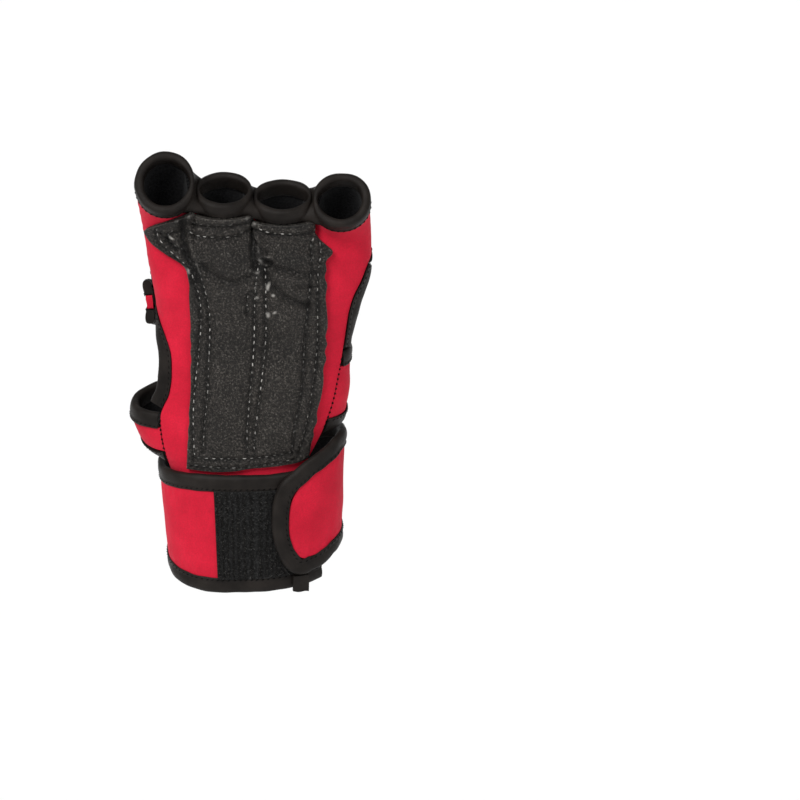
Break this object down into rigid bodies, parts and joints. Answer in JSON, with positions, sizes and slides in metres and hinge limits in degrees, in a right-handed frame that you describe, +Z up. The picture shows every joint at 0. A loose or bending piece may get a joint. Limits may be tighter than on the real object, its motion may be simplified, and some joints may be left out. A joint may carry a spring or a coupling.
{
  "type": "weightlifting glove",
  "caption": "Fingerless weightlifting glove in its worn form, with a grained leather grip pad, an open back and a wrist strap that closes on a loop field.",
  "frame": {"origin": "on the wrist's middle line at the level of the wrist strap's lower hem, where a forearm would hold the glove", "axes": "+Z runs up the hand from the wrist to the fingers, the palm faces -Y, the thumb side is -X"},
  "size_m": [0.0967, 0.0562, 0.1792],
  "materials": {
    "red_neoprene": "matt knitted facing over foam",
    "edge_tape": "matt folded stretch tape",
    "grip_leather": "pebbled, semi-matt",
    "loop_nap": "brushed loop nap"
  },
  "bodies": {
    "root": {"palm_panel": "red_neoprene", "finger_back_band": "red_neoprene", "grip_pad": "grip_leather", "index_binding": "edge_tape", "middle_binding": "edge_tape", "ring_binding": "edge_tape", "pinky_binding": "edge_tape", "thumb_binding": "edge_tape", "pinky_side_binding": "edge_tape", "back_edge_binding": "edge_tape", "back_strap": "red_neoprene", "back_strap_top_binding": "edge_tape", "back_strap_bottom_binding": "edge_tape", "back_strap_fork_binding": "edge_tape", "wrist_strap": "red_neoprene", "wrist_strap_binding": "edge_tape", "loop_field": "loop_nap", "binding_tail": "edge_tape"}
  },
  "joints": []
}
